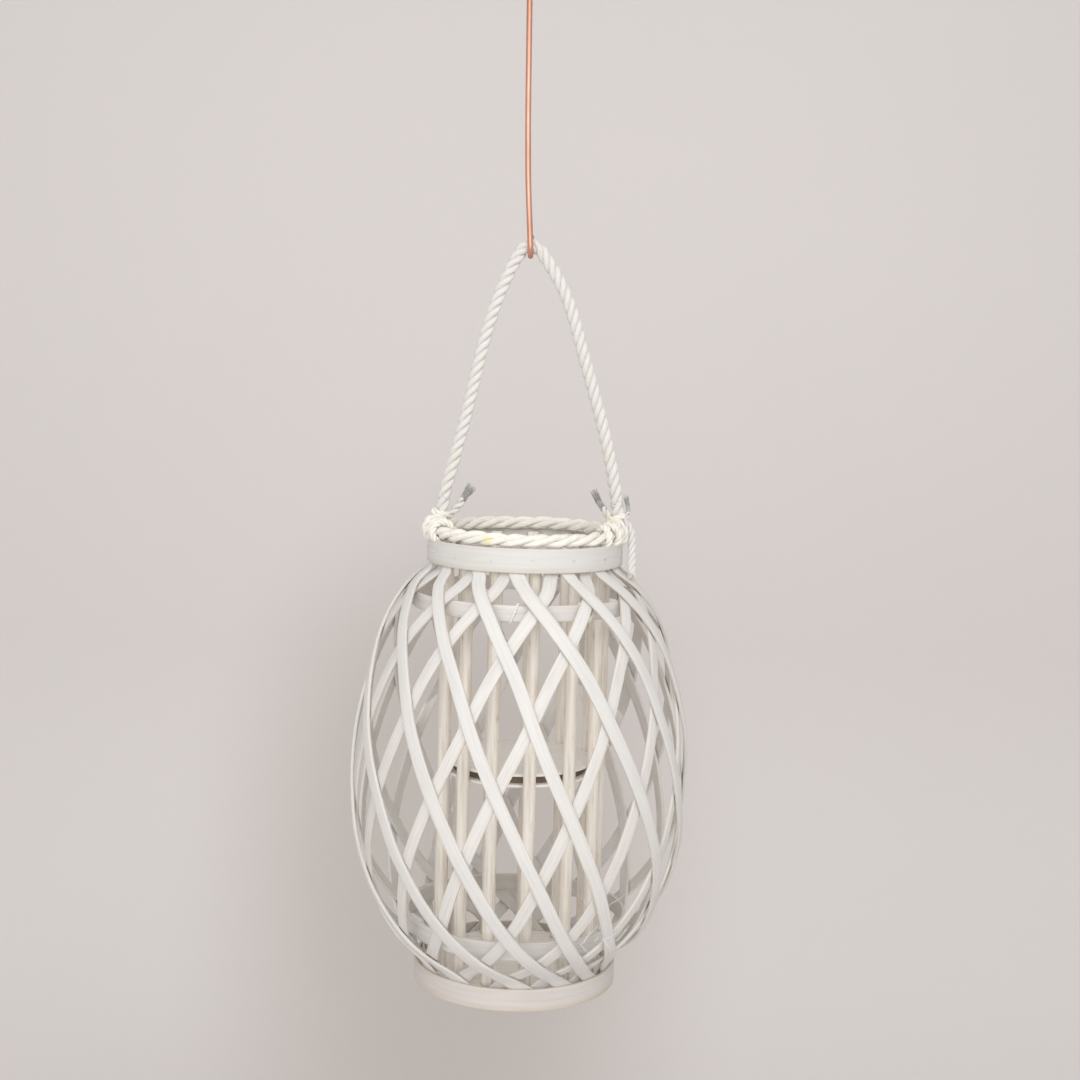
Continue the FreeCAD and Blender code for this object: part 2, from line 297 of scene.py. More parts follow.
# How far a strand's yarns turn round it from one ring to the next, in radians
YARN_TURN_PER_RING = 0.16
# Shares of a strand's radius
YARN_RELIEF = 0.07
STRAND_FULLNESS = 1.04
STRAND_SWELL = 0.05
# A share of the strand's distance from the rope's middle
STRAND_WANDER = 0.05
# How quickly the swelling and the wandering change, in noise cells per metre
SWELL_CELLS = 220
WANDER_CELLS = 160
ROPE_STEP = 1.1 * MM

FIBRE_STEPS = 5
FIBRE_TAPER = 0.75
HAIR_RADIUS = (0.07, 0.12)
TUFT_STEPS = 7
TUFT_SIDES = 4
TUFT_TAPER = 0.7
TUFT_REACH = (0.6, 1.0)
TUFT_CURL = 0.8
TUFT_FIBRE_RADIUS = (0.3, 0.5)


def strand_lines(line, radius, strands, pitch, hand=1, closed=False, wander=STRAND_WANDER):
    """The centre lines of a rope's strands, which wander a little, and each strand's radius."""
    lay = 1 / math.sin(math.pi / strands)
    strand_radius = radius / (1 + lay)
    offset = radius - strand_radius
    lines = []
    turn = 2 * math.pi * hand * (line[1] - line[0]).length / pitch
    if closed:
        turn = 2 * math.pi * hand * round(abs(turn) * len(line) / (2 * math.pi)) / len(line)
    bases = frames(line, closed)
    for strand in range(strands):
        centre = []
        for i, (point, (_, normal, side)) in enumerate(zip(line, bases)):
            angle = i * turn + 2 * math.pi * strand / strands
            reach = offset * (1 + wander * noise.noise(point * WANDER_CELLS + Vector((strand * 9.0, 0, 0))))
            centre.append(point + normal * (reach * math.cos(angle)) + side * (reach * math.sin(angle)))
        lines.append(centre)
    return lines, strand_radius


def strand_rings(line, radius, closed=False):
    """A strand: yarns that lie in it show as soft ridges which turn round it."""
    twist = YARNS_PER_STRAND * YARN_TURN_PER_RING

    def radius_at(i, angle):
        ridge = YARN_RELIEF * math.cos(YARNS_PER_STRAND * angle - (0 if closed else twist * i))
        swell = STRAND_SWELL * noise.noise(line[i] * SWELL_CELLS)
        return radius * (STRAND_FULLNESS + ridge + swell)

    return tube_rings(line, radius_at, 3 * YARNS_PER_STRAND, closed)


def fibre(root, tip, radius, sag, sides=3):
    """One loose fibre from root to tip, bowed by sag and thinning to its tip."""
    line = []
    for i in range(FIBRE_STEPS + 1):
        share = i / FIBRE_STEPS
        line.append(root.lerp(tip, share) + sag * math.sin(math.pi * share))
    return tube_rings(line, lambda i, angle: radius * (1 - FIBRE_TAPER * i / FIBRE_STEPS), sides)


def fuzz(name, lines, radius, count, length, seed):
    """Short fibres that stand off a rope's surface."""
    chance = random.Random(seed)
    tubes = []
    for _ in range(count):
        line = chance.choice(lines)
        i = chance.randrange(2, len(line) - 2)
        forward = (line[i + 1] - line[i - 1]).normalized()
        off = forward.orthogonal().normalized()
        off = Matrix.Rotation(chance.uniform(0, 2 * math.pi), 3, forward) @ off
        root = line[i] + off * radius * 0.8
        reach = chance.uniform(0.3, 1.0) * length
        lean = chance.uniform(-1.0, 1.0)
        tip = root + (off + forward * lean).normalized() * reach
        sag = Vector((0, 0, -0.2 * reach)) + forward * chance.uniform(-0.3, 0.3) * reach
        tubes.append(fibre(root, tip, chance.uniform(*HAIR_RADIUS) * MM, sag))
    return skin(name, tubes)


def tuft(name, line, width, count, spread, seed):
    """The frayed end of a rope: fibres that follow its line and fan out as its lay comes undone."""
    chance = random.Random(seed)
    bases = frames(line)
    tubes = []
    for _ in range(count):
        angle = chance.uniform(0, 2 * math.pi)
        out = math.sqrt(chance.random())
        reach = chance.uniform(*TUFT_REACH)
        curl = chance.uniform(-TUFT_CURL, TUFT_CURL)
        thick = chance.uniform(*TUFT_FIBRE_RADIUS) * MM
        points = []
        for step in range(TUFT_STEPS + 1):
            share = step / TUFT_STEPS
            i = round(share * reach * (len(line) - 1))
            _, normal, side = bases[i]
            turned = angle + curl * share
            off = out * (width + spread * share * share)
            points.append(line[i] + normal * (off * math.cos(turned)) + side * (off * math.sin(turned)))
        tubes.append(tube_rings(points, lambda i, _: thick * (1 - TUFT_TAPER * i / TUFT_STEPS), TUFT_SIDES))
    return skin(name, tubes)


# ---- materials ---------------------------------------------------------------------------------------

class Recipe:
    """A Principled material, and short calls that add the nodes which vary it."""

    def __init__(self, name, **sockets):
        self.material = bpy.data.materials.new(name)
        self.material.use_nodes = True
        self.tree = self.material.node_tree
        self.surface = self.tree.nodes["Principled BSDF"]
        for socket, value in sockets.items():
            self.surface.inputs[socket.replace("_", " ")].default_value = value

    def node(self, kind, **sockets):
        made = self.tree.nodes.new("ShaderNode" + kind)
        for socket, value in sockets.items():
            self.give(made.inputs[socket.replace("_", " ")], value)
        return made

    def give(self, socket, value):
        if isinstance(value, bpy.types.NodeSocket):
            self.tree.links.new(value, socket)
        else:
            socket.default_value = value

    def place(self, source, scale):
        """Texture coordinates from the piece's own map ("UV") or its place ("Object"), scaled."""
        found = self.node("TexCoord").outputs[source]
        return self.node("Mapping", Vector=found, Scale=scale).outputs["Vector"]

    def noise(self, place, detail=4.0, roughness=0.55, distortion=0.0):
        """Noise with one cell to each unit of place."""
        made = self.node("TexNoise", Vector=place, Scale=1.0, Detail=detail, Roughness=roughness,
                         Distortion=distortion)
        return made.outputs["Fac"]

    def ramp(self, factor, *stops):
        """A colour ramp through (position, colour) stops."""
        made = self.node("ValToRGB", Fac=factor)
        elements = made.color_ramp.elements
        while len(elements) < len(stops):
            elements.new(0.5)
        for element, (position, colour) in zip(elements, stops):
            element.position = position
            element.color = colour
        return made.outputs["Color"]

    def steps(self, factor, low, high):
        """A smooth ramp: 0 at low and 1 at high, whichever of the two is the larger."""
        made = self.node("MapRange", Value=factor, **{"From Min": low, "From Max": high})
        made.interpolation_type = "SMOOTHSTEP"
        return made.outputs["Result"]

    def mix(self, factor, first, second):
        made = self.tree.nodes.new("ShaderNodeMix")
        made.data_type = "RGBA"
        self.give(made.inputs[0], factor)
        self.give(made.inputs[6], first)
        self.give(made.inputs[7], second)
        return made.outputs[2]

    def combine(self, kind, first, second):
        made = self.node("Math")
        made.operation = kind
        self.give(made.inputs[0], first)
        self.give(made.inputs[1], second)
        return made.outputs["Value"]

    def attribute(self, name):
        made = self.node("Attribute")
        made.attribute_name = name
        return made.outputs["Fac"]

    def colour(self, value):
        self.give(self.surface.inputs["Base Color"], value)

    def roughness(self, value):
        self.give(self.surface.inputs["Roughness"], value)

    def bump(self, height, distance, strength):
        made = self.node("Bump", Height=height, Strength=strength, Distance=distance)
        self.give(self.surface.inputs["Normal"], made.outputs["Normal"])


def painted_wood(name, paint, shade, bare, source="UV", grain=(28, 750, 750), wear=0.66, rubbed=0.4):
    """White-washed wood: the wash lies thin over the grain, and is worn through in small spots.

    A lower wear gives more spots. rubbed is how far the paint has gone where the mesh says "worn".
    """
    recipe = Recipe(name, Roughness=0.6)
    streaks = recipe.noise(recipe.place(source, grain), detail=5.0, roughness=0.6)
    wash = recipe.ramp(streaks, (0.3, shade), (0.55, paint))
    broad = recipe.noise(recipe.place(source, (11, 60, 60)), detail=3.0)
    thin = recipe.steps(broad, 0.45, 0.75)
    washed = recipe.mix(recipe.combine("MULTIPLY", thin, 0.5), wash, shade)
    spots = recipe.noise(recipe.place(source, tuple(g * 0.35 for g in grain)), detail=6.0, roughness=0.7)
    patchy = recipe.steps(spots, 0.45, 0.6)
    worn = recipe.combine("MULTIPLY", recipe.combine("MULTIPLY", recipe.attribute("worn"), patchy), rubbed)
    worn = recipe.combine("MAXIMUM", worn, recipe.steps(spots, wear, wear + 0.08))
    recipe.colour(recipe.mix(worn, washed, bare))
    recipe.roughness(recipe.ramp(streaks, (0.3, grey(0.72)), (0.7, grey(0.52))))
    fine = recipe.noise(recipe.place(source, tuple(g * 2.2 for g in grain)), detail=3.0)
    height = recipe.combine("ADD", streaks, recipe.combine("MULTIPLY", fine, 0.4))
    recipe.bump(height, 0.3 * MM, 0.35)
    return recipe.material


def rope_fibre(name, light, dark, stain, glue=None):
    """Soft painted fibre: fine hairs lie along each strand. glue is the place of a yellowed drop."""
    recipe = Recipe(name, Roughness=0.92, Sheen_Weight=0.25, Sheen_Roughness=0.5)
    hairs = recipe.noise(recipe.place("UV", (260, 2600, 1)), detail=4.0, roughness=0.65, distortion=0.4)
    blotch = recipe.noise(recipe.place("Object", (60, 60, 60)), detail=3.0)
    base = recipe.ramp(hairs, (0.3, dark), (0.55, light))
    stained = recipe.steps(blotch, 0.55, 0.72)
    look = recipe.mix(recipe.combine("MULTIPLY", stained, 0.6), base, stain)
    if glue:
        away = recipe.node("VectorMath", Vector=recipe.node("TexCoord").outputs["Object"])
        away.operation = "DISTANCE"
        away.inputs[1].default_value = glue
        near = recipe.steps(away.outputs["Value"], 5.5 * MM, 2.5 * MM)
        look = recipe.mix(recipe.combine("MULTIPLY", near, 0.75), look, GLUE_YELLOW)
    recipe.colour(look)
    recipe.bump(hairs, 0.3 * MM, 0.8)
    return recipe.material


def loose_fibre(name, light, dark):
    recipe = Recipe(name, Roughness=0.9, Sheen_Weight=0.2)
    blotch = recipe.noise(recipe.place("Object", (300, 300, 300)), detail=2.0)
    recipe.colour(recipe.ramp(blotch, (0.35, dark), (0.65, light)))
    return recipe.material


def copper(name):
    """Drawn copper rod, dulled in patches."""
    recipe = Recipe(name, Metallic=1.0)
    dull = recipe.noise(recipe.place("Object", (35, 35, 12)), detail=5.0, roughness=0.6)
    recipe.colour(recipe.ramp(dull, (0.35, srgb(218, 168, 148)), (0.7, srgb(186, 134, 112))))
    recipe.roughness(recipe.ramp(dull, (0.3, grey(0.42)), (0.75, grey(0.6))))
    drawn = recipe.noise(recipe.place("Object", (1800, 1800, 30)), detail=2.0)
    recipe.bump(drawn, 0.05 * MM, 0.4)
    return recipe.material


def painted_metal(name, paint, rust):
    """Nail heads under the wash, with rust where it has chipped."""
    recipe = Recipe(name, Roughness=0.55, Metallic=0.2)
    chips = recipe.noise(recipe.place("Object", (700, 700, 700)), detail=3.0)
    recipe.colour(recipe.ramp(chips, (0.48, paint), (0.6, rust)))
    recipe.bump(chips, 0.1 * MM, 0.5)
    return recipe.material


def backdrop_paper(name):
    """Pale wall paint with the lantern's shadow painted on as a broad soft greyer patch low behind the
    lantern. Faintly uneven all over.
    """
    recipe = Recipe(name, Roughness=0.9)
    found = recipe.node("TexCoord").outputs["Object"]
    centred = recipe.node("Mapping", Vector=found, Location=PAINTED_SHADOW_PLACE, Scale=PAINTED_SHADOW_SCALE)
    away = recipe.node("VectorMath", Vector=centred.outputs["Vector"])
    away.operation = "LENGTH"
    # Painted shadow: the wall colour is mixed towards grey near the place behind and below the lantern
    patch = recipe.steps(away.outputs["Value"], 1.0, 0.25)
    shadowed_tone = recipe.mix(patch, srgb(217, 212, 210), srgb(191, 184, 178))
    uneven = recipe.noise(recipe.place("Object", (3, 3, 3)), detail=3.0)
    recipe.colour(recipe.mix(recipe.combine("MULTIPLY", uneven, 0.12), shadowed_tone, srgb(200, 196, 193)))
    recipe.bump(recipe.noise(recipe.place("Object", (240, 240, 240)), detail=3.0), 0.2 * MM, 0.2)
    return recipe.material


BARE_WILLOW = srgb(190, 168, 132)
GLUE_YELLOW = srgb(236, 228, 184)
outer_paint = painted_wood("painted_willow_outer", srgb(218, 216, 213), srgb(208, 205, 200), BARE_WILLOW,
                           rubbed=0.2)
inner_paint = painted_wood("painted_willow_inner", srgb(219, 216, 212), srgb(206, 202, 196), BARE_WILLOW,
                           rubbed=0.2)
stick_paint = painted_wood("painted_stick", srgb(246, 240, 231), srgb(216, 206, 190), srgb(138, 104, 72),
                           grain=(20, 300, 300), wear=0.61, rubbed=1.0)
band_paint = painted_wood("painted_chip_wood", srgb(213, 211, 207), srgb(204, 201, 196), BARE_WILLOW,
                          grain=(12, 500, 500), wear=0.72, rubbed=0.3)
# Painted shade: the bottom band's paint is darker than the top band's, standing in for the shadow under the
# lantern's bulge. Its edges are also rubbed further, which is real wear.
shaded_foot_paint = painted_wood("rubbed_and_painted_shade_chip_wood", srgb(204, 198, 193), srgb(194, 187, 180), BARE_WILLOW,
                          grain=(12, 500, 500), wear=0.66, rubbed=0.6)
board_paint = painted_wood("painted_board", srgb(246, 243, 238), srgb(236, 231, 223), srgb(176, 155, 124),
                           source="Object", grain=(20, 420, 420))
# Painted shade: a dark brown for the platform ledge, standing in for the shade in the recess under the
# platform board
painted_shade_wood = painted_wood("painted_shade_wood", srgb(128, 112, 94), srgb(96, 82, 68), srgb(74, 62, 50),
                        source="Object", grain=(20, 420, 420))
white_fibre = rope_fibre("white_rope_fibre", srgb(224, 221, 217), srgb(208, 204, 198), srgb(219, 216, 201))
rim_fibre = rope_fibre("rim_rope_fibre", srgb(240, 237, 229), srgb(220, 214, 203), srgb(235, 228, 207),
                       glue=on_circle(70.5, 338, 342))
grey_fibre = loose_fibre("frayed_fibre", srgb(194, 191, 188), srgb(154, 151, 147))
pale_fibre = loose_fibre("pale_fibre", srgb(240, 237, 232), srgb(222, 217, 208))
copper_look = copper("copper_rod")
nail_look = painted_metal("nail_head", srgb(222, 218, 213), srgb(184, 172, 158))


# ---- willow strips -----------------------------------------------------------------------------------

STRIP_RINGS = 84
STRIP_END_GAP = 0.3 * MM
STRIP_BREADTH = (0.95, 1.06)
STRIP_WIDTH_VARIES = 0.06
STRIP_WANDERS = 0.08
STRIP_CROWN = 0.12
CORNER_POINTS = 4
FACE_POINTS = 3


def corner_signs(corner):
    """Which way a section's corner lies, across and up. They count anticlockwise from the upper right."""
    return (1 if corner in (0, 3) else -1), (1 if corner in (0, 1) else -1)


def rounded_corner(corner, half_wide, half_tall, round_wide, round_tall):
    """The points round one corner of a section."""
    side, face = corner_signs(corner)
    points = []
    for i in range(CORNER_POINTS):
        angle = math.pi / 2 * (corner + i / (CORNER_POINTS - 1))
        points.append((side * (half_wide - round_wide) + round_wide * math.cos(angle),
                       face * (half_tall - round_tall) + round_tall * math.sin(angle)))
    return points


def face_shares():
    """Where the points between two corners lie, from 1 at the first corner to -1 at the next."""
    return [1 - 2 * i / (FACE_POINTS + 1) for i in range(1, FACE_POINTS + 1)]


def strip_profile():
    """The strip's rounded section in shares of its half sizes, and how near an edge each point is."""
    across = STRIP_EDGE_ROUND / STRIP_HALF_WIDTH
    deep = STRIP_EDGE_ROUND / STRIP_HALF_THICKNESS
    points, edges = [], []
    for corner in range(4):
        side, face = corner_signs(corner)
        points += rounded_corner(corner, 1, 1, across, deep)
        edges += [1.0] * CORNER_POINTS
        if corner in (0, 2):
            for share in face_shares():
                crown = STRIP_CROWN * (1 - share * share) if face > 0 else 0.0
                points.append((side * share, face * (1 + crown)))
                edges.append(0.0)
    return points, edges


def polar(point):
    """The azimuth in radians and the distance from the axis of a place in the frame."""
    return math.atan2(point.x - AXIS_X, -point.y), math.hypot(point.x - AXIS_X, point.y)


def level_sections(node, heights):
    """At each height, a strip's two edge azimuths and its radius, for its outer and its inner face."""
    solid = bmesh.new()
    solid.from_mesh(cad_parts[node].data)
    sections = []
    for height in heights:
        whole = solid.verts[:] + solid.edges[:] + solid.faces[:]
        cut = bmesh.ops.bisect_plane(solid, geom=whole, plane_co=(0, 0, height), plane_no=(0, 0, 1))
        spots = [polar(v.co) for v in cut["geom_cut"] if isinstance(v, bmesh.types.BMVert)]
        start = spots[0][0]
        spots = [((azimuth - start + math.pi) % (2 * math.pi) - math.pi, radius)
                 for azimuth, radius in spots]
        halfway = (min(s[1] for s in spots) + max(s[1] for s in spots)) / 2
        faces = []
        for outer in (True, False):
            face = [s for s in spots if (s[1] > halfway) == outer]
            azimuths = [start + s[0] for s in face]
            faces.append((min(azimuths), max(azimuths), sum(s[1] for s in face) / len(face)))
        sections.append(faces)
    solid.free()
    return sections


def willow_strip(name, node, profile, edges, seed):
    """A split willow strip that lies where its CAD solid does, with a natural strip's uneven width."""
    low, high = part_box(node)
    bottom, top = low.z + STRIP_END_GAP, high.z - STRIP_END_GAP
    heights = [bottom + (top - bottom) * i / (STRIP_RINGS - 1) for i in range(STRIP_RINGS)]
    chance = random.Random(seed)
    breadth = chance.uniform(*STRIP_BREADTH)
    offset = Vector((seed * 3.7, seed * 1.3, 0))
    rings = []
    for height, (outer, inner) in zip(heights, level_sections(node, heights)):
        wide = breadth * (1 + STRIP_WIDTH_VARIES * noise.noise(offset + Vector((0, 0, height * 14))))
        drift = STRIP_WANDERS * noise.noise(offset + Vector((5, 0, height * 20)))
        ring = []
        for across, deep in profile:
            share = (deep + 1) / 2
            low_azimuth = inner[0] + (outer[0] - inner[0]) * share
            high_azimuth = inner[1] + (outer[1] - inner[1]) * share
            radius = inner[2] + (outer[2] - inner[2]) * share
            azimuth = (low_azimuth + high_azimuth) / 2
            azimuth += (high_azimuth - low_azimuth) / 2 * (across * wide + drift)
            ring.append(Vector((AXIS_X + radius * math.sin(azimuth), -radius * math.cos(azimuth), height)))
        rings.append(ring)
    return skin(name, [rings], worn=edges * len(rings))


def willow_lattice():
    """Both layers of strips."""
    profile, edges = strip_profile()
    for layer, paint, seed in (("outer", outer_paint, OUTER_STRIP_SEED),
                               ("inner", inner_paint, INNER_STRIP_SEED)):
        nodes = sorted(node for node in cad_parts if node.startswith(layer + "_strip_"))
        for i, node in enumerate(nodes):
            strip = willow_strip("willow_" + node, node, profile, edges, seed + i)
            finish_piece(strip, paint, "basket", "painted_willow", node)


# ---- sticks ------------------------------------------------------------------------------------------

STICK_RINGS = 90
STICK_SIDES = 20
SCARS_PER_STICK = 3
STICK_FULLNESS = 1.02
STICK_SWELL = 0.04
STICK_RIPPLE = 0.02
STICK_BOW = 0.5
SCAR_RISE = 0.12
SCAR_REACH = 0.014


def peeled_stick(name, node, seed):
    """A round willow stick with its swellings, a few brown bud scars and a slight bow."""
    low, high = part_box(node)
    chance = random.Random(seed)
    offset = Vector((seed * 2.1, 0, 0))
    scars = [(chance.uniform(0.1, 0.9), chance.uniform(0, 2 * math.pi), chance.uniform(0.5, 1.0))
             for _ in range(SCARS_PER_STICK)]
    bow = Vector((chance.uniform(-STICK_BOW, STICK_BOW), chance.uniform(-STICK_BOW, STICK_BOW), 0)) * MM
    line = []
    for i in range(STICK_RINGS):
        share = i / (STICK_RINGS - 1)
        centre = Vector(((low.x + high.x) / 2, (low.y + high.y) / 2, low.z + (high.z - low.z) * share))
        line.append(centre + bow * math.sin(math.pi * share))

    def scar_at(share, angle):
        """How far into a bud scar a place is, from 0 to 1. The wood stands out there."""
        deepest = 0.0
        for place, turned, size in scars:
            near = math.exp(-((share - place) / (SCAR_REACH * size)) ** 2)
            deepest = max(deepest, size * near * max(0.0, math.cos(angle - turned)) ** 3)
        return deepest

    def radius_at(i, angle):
        share = i / (STICK_RINGS - 1)
        swell = STICK_SWELL * noise.noise(offset + Vector((0, 0, share * 7)))
        around = Vector((math.cos(angle) * 2, math.sin(angle) * 2, share * 40))
        ripple = STICK_RIPPLE * noise.noise(offset + around)
        return STICK_RADIUS * MM * (STICK_FULLNESS + swell + ripple + SCAR_RISE * scar_at(share, angle))

    worn = [scar_at(i / (STICK_RINGS - 1), 2 * math.pi * j / STICK_SIDES)
            for i in range(STICK_RINGS) for j in range(STICK_SIDES)]
    return skin(name, [tube_rings(line, radius_at, STICK_SIDES)], worn=worn)


def stick_cage():
    """The ring of upright sticks."""
    nodes = sorted(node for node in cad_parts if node.startswith("stick_"))
    for i, node in enumerate(nodes):
        stick = peeled_stick("willow_" + node, node, STICK_SEED + i)
        finish_piece(stick, stick_paint, "basket", "painted_sticks", node)


# ---- bands and hoops ---------------------------------------------------------------------------------

BAND_RINGS = 150
BAND_ROUND = 0.6
BAND_WAVE = 0.25
LAP_GAP = 0.15
# The share of the overlap over which the outer end climbs onto the inner one
LAP_CLIMB = 0.4


def band_section(half_height, half_thickness):
    """A rounded upright section: (outwards, up) points in millimetres, and how near an edge each is."""
    points, edges = [], []
    for corner in range(4):
        side, face = corner_signs(corner)
        points += rounded_corner(corner, half_thickness, half_height, BAND_ROUND, BAND_ROUND)
        edges += [1.0] * CORNER_POINTS
        if corner in (1, 3):
            for share in face_shares():
                points.append((side * half_thickness, face * (half_height - BAND_ROUND) * share))
                edges.append(0.0)
    return points, edges


def bent_band(name, node, thickness, join_azimuth, overlap, seed):
    """A thin band bent round until its ends overlap, the outer end lying on the inner one."""
    low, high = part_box(node)
    radius = (high.x - low.x) / 2 / MM - thickness / 2
    bottom, top = (low.z - BASE_Z) / MM, (high.z - BASE_Z) / MM
    points, edges = band_section((top - bottom) / 2, thickness / 2)
    run_up = overlap * LAP_CLIMB
    rings = []
    for i in range(BAND_RINGS):
        share = i / (BAND_RINGS - 1)
        azimuth = join_azimuth + (360 + overlap) * share
        climb = min(max((share * (360 + overlap) - 360 + run_up) / run_up, 0.0), 1.0)
        lift = (thickness + LAP_GAP) * climb * climb * (3 - 2 * climb)
        wave = BAND_WAVE * noise.noise(Vector((math.cos(math.radians(azimuth)) * 1.5, seed, share)))
        rings.append([on_circle(radius + lift + out, azimuth, (bottom + top) / 2 + up + wave)
                      for out, up in points])
    return skin(name, [rings], worn=edges * len(rings))


def bands_and_hoops():
    """The two outer bands and the two hoops inside the lattice."""
    for node, paint, thickness, join, overlap in (("top_band", band_paint, 2.0, 150, 22),
                                                  ("bottom_band", shaded_foot_paint, 2.5, 205, 22),
                                                  ("top_hoop", inner_paint, HOOP_THICKNESS, 120, 24),
                                                  ("bottom_hoop", inner_paint, HOOP_THICKNESS, 230, 24)):
        band = bent_band("bent_" + node, node, thickness, join, overlap, join * 0.1)
        finish_piece(band, paint, "basket", "chip_wood", node)


# ---- ropes and lashings ------------------------------------------------------------------------------

def handle():
    """The handle rope, and the two feet where it bends into its lashings."""
    places = [LEFT_FOOT] + HANDLE_ROUTE + [RIGHT_FOOT]
    line = evenly(route_line([spot(x, 0.0, height) for x, height in places]), ROPE_STEP)
    hinge_z = spot(0, 0, HINGE_HEIGHT).z
    above = [i for i, point in enumerate(line) if point.z >= hinge_z]
    first, last = above[0], above[-1]
    radius = HANDLE_ROPE_DIAMETER / 2 * MM
    lines, strand_radius = strand_lines(line, radius, 3, HANDLE_PITCH * MM)
    strands = [strand_rings(centre, strand_radius) for centre in lines]
    laid = skin("handle_rope_laid", [rings[first:last + 1] for rings in strands])
    finish_piece(laid, white_fibre, "handle", "white_rope", "handle_rope")
    clear_of_ends = slice(first + HAIRLESS_RINGS, last - HAIRLESS_RINGS)
    hairs = fuzz("handle_rope_fuzz", [centre[clear_of_ends] for centre in lines], strand_radius,
                 HANDLE_HAIRS, HANDLE_HAIR_LENGTH * MM, HANDLE_HAIR_SEED)
    finish_piece(hairs, pale_fibre, "handle", "white_rope")
    for side, part in (("left", slice(0, first + 1)), ("right", slice(last, None))):
        foot = skin("handle_foot_" + side, [rings[part] for rings in strands])
        foot.data.materials.append(white_fibre)
        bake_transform(foot)


def rim():
    """The rope that lies round the rim."""
    count = round(2 * math.pi * RIM_CIRCLE_RADIUS * MM / ROPE_STEP)
    line = [on_circle(RIM_CIRCLE_RADIUS, 360 * i / count, RIM_HEIGHT) for i in range(count)]
    pitch = 2 * math.pi * RIM_CIRCLE_RADIUS / RIM_TURNS * MM
    lines, strand_radius = strand_lines(line, RIM_ROPE_RADIUS * MM, 3, pitch, hand=-1, closed=True,
                                        wander=RIM_WANDER)
    strands = [strand_rings(centre, strand_radius * RIM_STRAND_FULLNESS, closed=True) for centre in lines]
    laid = skin("rim_rope_laid", strands, closed=True)
    finish_piece(laid, rim_fibre, "basket", "rim_rope", "rim_rope")
    hairs = fuzz("rim_rope_fuzz", [line], RIM_HAIR_ROOT * MM, RIM_HAIRS, RIM_HAIR_LENGTH * MM,
                 RIM_HAIR_SEED)
    finish_piece(hairs, pale_fibre, "basket", "rim_rope")


UP = Vector((0, 0, 1))
RIM_TURN_POINTS = 54
SMALL_TURN_POINTS = 40
RIM_TURN_LIFT = 0.8
KNOT_FULLNESS = 1.08
KNOT_ROPE_RADIUS = 2.9
WRAP_ROPE_RADIUS = 2.6
# Turns of rope round the rim rope: (azimuth, half width, half height, tilt)
KNOT_TURNS = {"left": [(265, 7.6, 7.8, 10), (271, 7.9, 8.6, -14), (278, 8.0, 8.4, 16)],
              "right": [(95, 7.6, 7.8, -10), (89, 7.9, 8.6, 14), (82, 8.0, 8.4, -16)]}
WRAP_TURNS = {"left": [(287, 7.4, 7.6, 26), (295, 7.4, 7.4, -12)],
              "right": [(74, 7.4, 7.8, -24), (66, 7.5, 7.6, 14), (59, 7.2, 7.2, -28)]}
# The turn round each of the handle's feet: its middle's x, and how far it leans
COLLARS = {"left": (-63.6, 14), "right": (67.6, -14)}
COLLAR_Y = -0.5
COLLAR_HEIGHT = 354.6
COLLAR_RADIUS = 5.0


def oval(first, second, count):
    """Points round an oval that has these two half axes."""
    angles = [2 * math.pi * i / count for i in range(count)]
    return [first * math.cos(angle) + second * math.sin(angle) for angle in angles]


def rim_turn(azimuth, wide, tall, tilt):
    """A turn of rope round the rim rope, square to it at an azimuth and then tilted."""
    out = outwards(azimuth)
    turn = Matrix.Rotation(math.radians(tilt), 3, "Z")
    middle = out * RIM_CIRCLE_RADIUS + UP * (RIM_HEIGHT + RIM_TURN_LIFT)
    return [spot(*(middle + turn @ point)) for point in oval(out * wide, UP * tall, RIM_TURN_POINTS)]


def collar(x, lean):
    """A turn of rope round the handle's foot."""
    across, away = Vector((COLLAR_RADIUS, 0, 0)), Vector((0, COLLAR_RADIUS, 0))
    turn = Matrix.Rotation(math.radians(lean), 3, "Y")
    middle = Vector((x, COLLAR_Y, COLLAR_HEIGHT))
    return [spot(*(middle + turn @ point)) for point in oval(across, away, SMALL_TURN_POINTS)]


def turns(name, lines, radius, strands=3, pitch=17.0):
    """Turns of rope pulled tight in a knot, as one mesh of rope strands."""
    tubes = []
    for line in lines:
        centres, strand_radius = strand_lines(line, radius * MM, strands, pitch * MM, closed=True)
        tubes += [strand_rings(centre, strand_radius * KNOT_FULLNESS, closed=True) for centre in centres]
    return skin(name, tubes, closed=True)


def loose_end(name, route, radius, strands, pitch, laid_share, count, spread, seed, tip_paint):
    """A cut end of rope that stands out of a knot. Past laid_share of its route it is frayed."""
    line = evenly(route_line([spot(*place) for place in route]), ROPE_STEP / 2)
    last = round(laid_share * (len(line) - 1))
    centres, strand_radius = strand_lines(line[:last + 1:2], radius * MM, strands, pitch * MM)
    end = skin(name, [strand_rings(centre, strand_radius) for centre in centres])
    finish_piece(end, white_fibre, "basket", "white_rope")
    tip = tuft(name + "_frayed", line[last - 4:], radius * 0.75 * MM, count, spread * MM, seed)
    finish_piece(tip, tip_paint, "basket", "white_rope")


